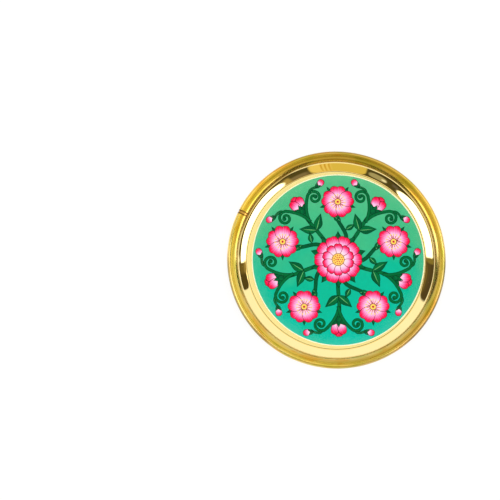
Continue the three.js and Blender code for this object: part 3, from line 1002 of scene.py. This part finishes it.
tree = new_material("ground_ink").node_tree
place = add_node(tree, "ShaderNodeTexCoord").outputs["Object"]
clouds = add_node(tree, "ShaderNodeTexNoise", {"Vector": place, "Scale": 1 / CLOUD, "Detail": 2.0})
brushed = add_node(tree, "ShaderNodeTexNoise", {"Vector": place, "Scale": 1 / BRUSH, "Detail": 3.0})
sides = add_node(tree, "ShaderNodeSeparateXYZ", {0: place})
fall = add_node(tree, "ShaderNodeMapRange", {"Value": sides.outputs["Y"], "From Min": film_radius,
                                             "From Max": -film_radius})
drift = add_node(tree, "ShaderNodeMath", {0: clouds, 1: CLOUD_DRIFT, 2: -CLOUD_DRIFT / 2},
                 operation="MULTIPLY_ADD")
fall = add_node(tree, "ShaderNodeMath", {0: fall, 1: drift}, operation="ADD", use_clamp=True)
wash = add_node(tree, "ShaderNodeValToRGB", {"Fac": fall})
lay_ramp(wash, GROUND_TONES)
strokes = add_node(tree, "ShaderNodeMapRange", {"Value": brushed, "To Min": 0.93, "To Max": 1.07})
tone = add_node(tree, "ShaderNodeVectorMath", {0: wash.outputs["Color"], "Scale": strokes},
                operation="SCALE")
ink_material("ground_ink", tone)

# Petals run from peach at the base over pink to a red tip and red edges, in streaks along the petal.
PETAL_STREAKS = (1.6, 22.0, 1.0)
EDGE_BLUSH = 0.9
STREAK_WANDER = 0.36
PETAL_TONES = [(0.0, "#FFC88C"), (0.2, "#FFD2DC"), (0.48, "#FFB2DA"), (0.68, "#F46AA6"), (0.83, "#EA1E55"),
               (1.0, "#D8062E")]

tree = new_material("petal_ink").node_tree
place = add_node(tree, "ShaderNodeUVMap", uv_map="shape_place").outputs[0]
drawn_out = add_node(tree, "ShaderNodeVectorMath", {0: place, 1: PETAL_STREAKS}, operation="MULTIPLY")
streaks = add_node(tree, "ShaderNodeTexNoise", {"Vector": drawn_out, "Scale": 1.0, "Detail": 3.0},
                   noise_dimensions="2D")
along = add_node(tree, "ShaderNodeSeparateXYZ", {0: place})
across = add_node(tree, "ShaderNodeMath", {0: along.outputs["Y"], 1: along.outputs["Y"]},
                  operation="MULTIPLY")
edge_on = add_node(tree, "ShaderNodeMath", {0: across, 1: EDGE_BLUSH, 2: along.outputs["X"]},
                   operation="MULTIPLY_ADD")
wander = add_node(tree, "ShaderNodeMath", {0: streaks, 1: STREAK_WANDER, 2: -STREAK_WANDER / 2},
                  operation="MULTIPLY_ADD")
fade = add_node(tree, "ShaderNodeMath", {0: edge_on, 1: wander}, operation="ADD", use_clamp=True)
blush = add_node(tree, "ShaderNodeValToRGB", {"Fac": fade})
lay_ramp(blush, PETAL_TONES)
ink_material("petal_ink", blush.outputs["Color"])

# Leaves and stems are a deep bottle green, washed on, one half of each leaf lighter.
LEAF_WASH = 3.85 * MM

tree = new_material("leaf_ink").node_tree
place = add_node(tree, "ShaderNodeTexCoord").outputs["Object"]
halves = add_node(tree, "ShaderNodeUVMap", uv_map="shape_place")
halves = add_node(tree, "ShaderNodeSeparateXYZ", {0: halves})
lighter = add_node(tree, "ShaderNodeMapRange", {"Value": halves.outputs["Y"], "From Min": -0.02,
                                                "From Max": 0.05})
wash = add_node(tree, "ShaderNodeTexNoise", {"Vector": place, "Scale": 1 / LEAF_WASH, "Detail": 3.0})
tone = add_node(tree, "ShaderNodeMix", {"Factor": lighter, "A": linear("#00482A"),
                                        "B": linear("#006A34")}, data_type="RGBA")
tone = add_node(tree, "ShaderNodeMix", {"Factor": wash, "A": tone.outputs["Result"],
                                        "B": linear("#005A32")}, data_type="RGBA")
ink_material("leaf_ink", tone.outputs["Result"])

# The drawn lines, leaf ribs, stamens, pollen and seeds are flat inks that vary only as print on vinyl does.
SPECKLE = 1.43 * MM

for name, *tones in (("outline_ink", "#3C0620", "#540A28"), ("dark_leaf_ink", "#002C18", "#003820"),
                     ("rib_ink", "#4FA862", "#6DBE74"), ("stamen_ink", "#B01048", "#C41A54"),
                     ("pollen_ink", "#F2B63C", "#FFD873"), ("seed_ink", "#A81030", "#C02040")):
    tree = new_material(name).node_tree
    _, tone = mottled(tree, SPECKLE, 2.0, 0.5, tones)
    ink_material(name, tone)
for ink in INKS:
    film_mesh.materials.append(bpy.data.materials[ink])
finish_piece(film_mesh, "printed_film")


# The coat: clear resin poured over the picture, half a millimetre deep, with a rounded edge. It has bonded to
# the film, so it starts a hair below the film's top.
COAT_THICKNESS = 0.5 * MM
COAT_EDGE = 0.35 * MM
COAT_EDGE_STEPS = 8
COAT_SUPPORT = 0.2 * MM
BOND = 0.01 * MM

coat_top = film_top + COAT_THICKNESS
coat_base = film_top - BOND
level_radius = film_radius - COAT_EDGE - COAT_SUPPORT
coat_profile = [(0, coat_base), (level_radius, coat_base), (film_radius, coat_base)]
for i in range(COAT_EDGE_STEPS + 1):
    angle = math.radians(90 * i / COAT_EDGE_STEPS)
    coat_profile.append((film_radius - COAT_EDGE * (1 - math.cos(angle)),
                         coat_top - COAT_EDGE * (1 - math.sin(angle))))
coat_profile += [(level_radius, coat_top), (0, coat_top)]
coat_mesh, _ = turned_mesh("resin_coat", coat_profile, TURN_STEPS)
coat_mesh.transform(Matrix.Translation((FILM_OFFSET, 0, 0)))

# Clear casting resin, very slightly wavy where it has levelled itself. Lamps and scattered light reach the
# picture through it without a detour, as they do through a layer this thin.
LEVELLING_WAVE = 9 * MM
WAVE_DEPTH = 0.05 * MM
RESIN_IOR = 1.45

resin = new_material("clear_casting_resin")
tree = resin.node_tree
place = add_node(tree, "ShaderNodeTexCoord").outputs["Object"]
waves = add_node(tree, "ShaderNodeTexNoise", {"Vector": place, "Scale": 1 / LEVELLING_WAVE, "Detail": 2.0})
relief = add_node(tree, "ShaderNodeBump", {"Height": waves, "Strength": 0.2, "Distance": WAVE_DEPTH})
glass = add_node(tree, "ShaderNodeBsdfPrincipled", {
    "Base Color": linear("#FFFFFF"), "Roughness": 0.03, "IOR": RESIN_IOR, "Transmission Weight": 1.0,
    "Normal": relief})
through = add_node(tree, "ShaderNodeBsdfTransparent")
rays = add_node(tree, "ShaderNodeLightPath")
scattered = add_node(tree, "ShaderNodeMixShader", {0: rays.outputs["Is Diffuse Ray"], 1: glass, 2: through})
lamps = add_node(tree, "ShaderNodeMixShader", {0: rays.outputs["Is Shadow Ray"], 1: scattered, 2: through})
add_node(tree, "ShaderNodeOutputMaterial", {"Surface": lamps})
coat_mesh.materials.append(resin)
finish_piece(coat_mesh, "clear_coat")

low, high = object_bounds()
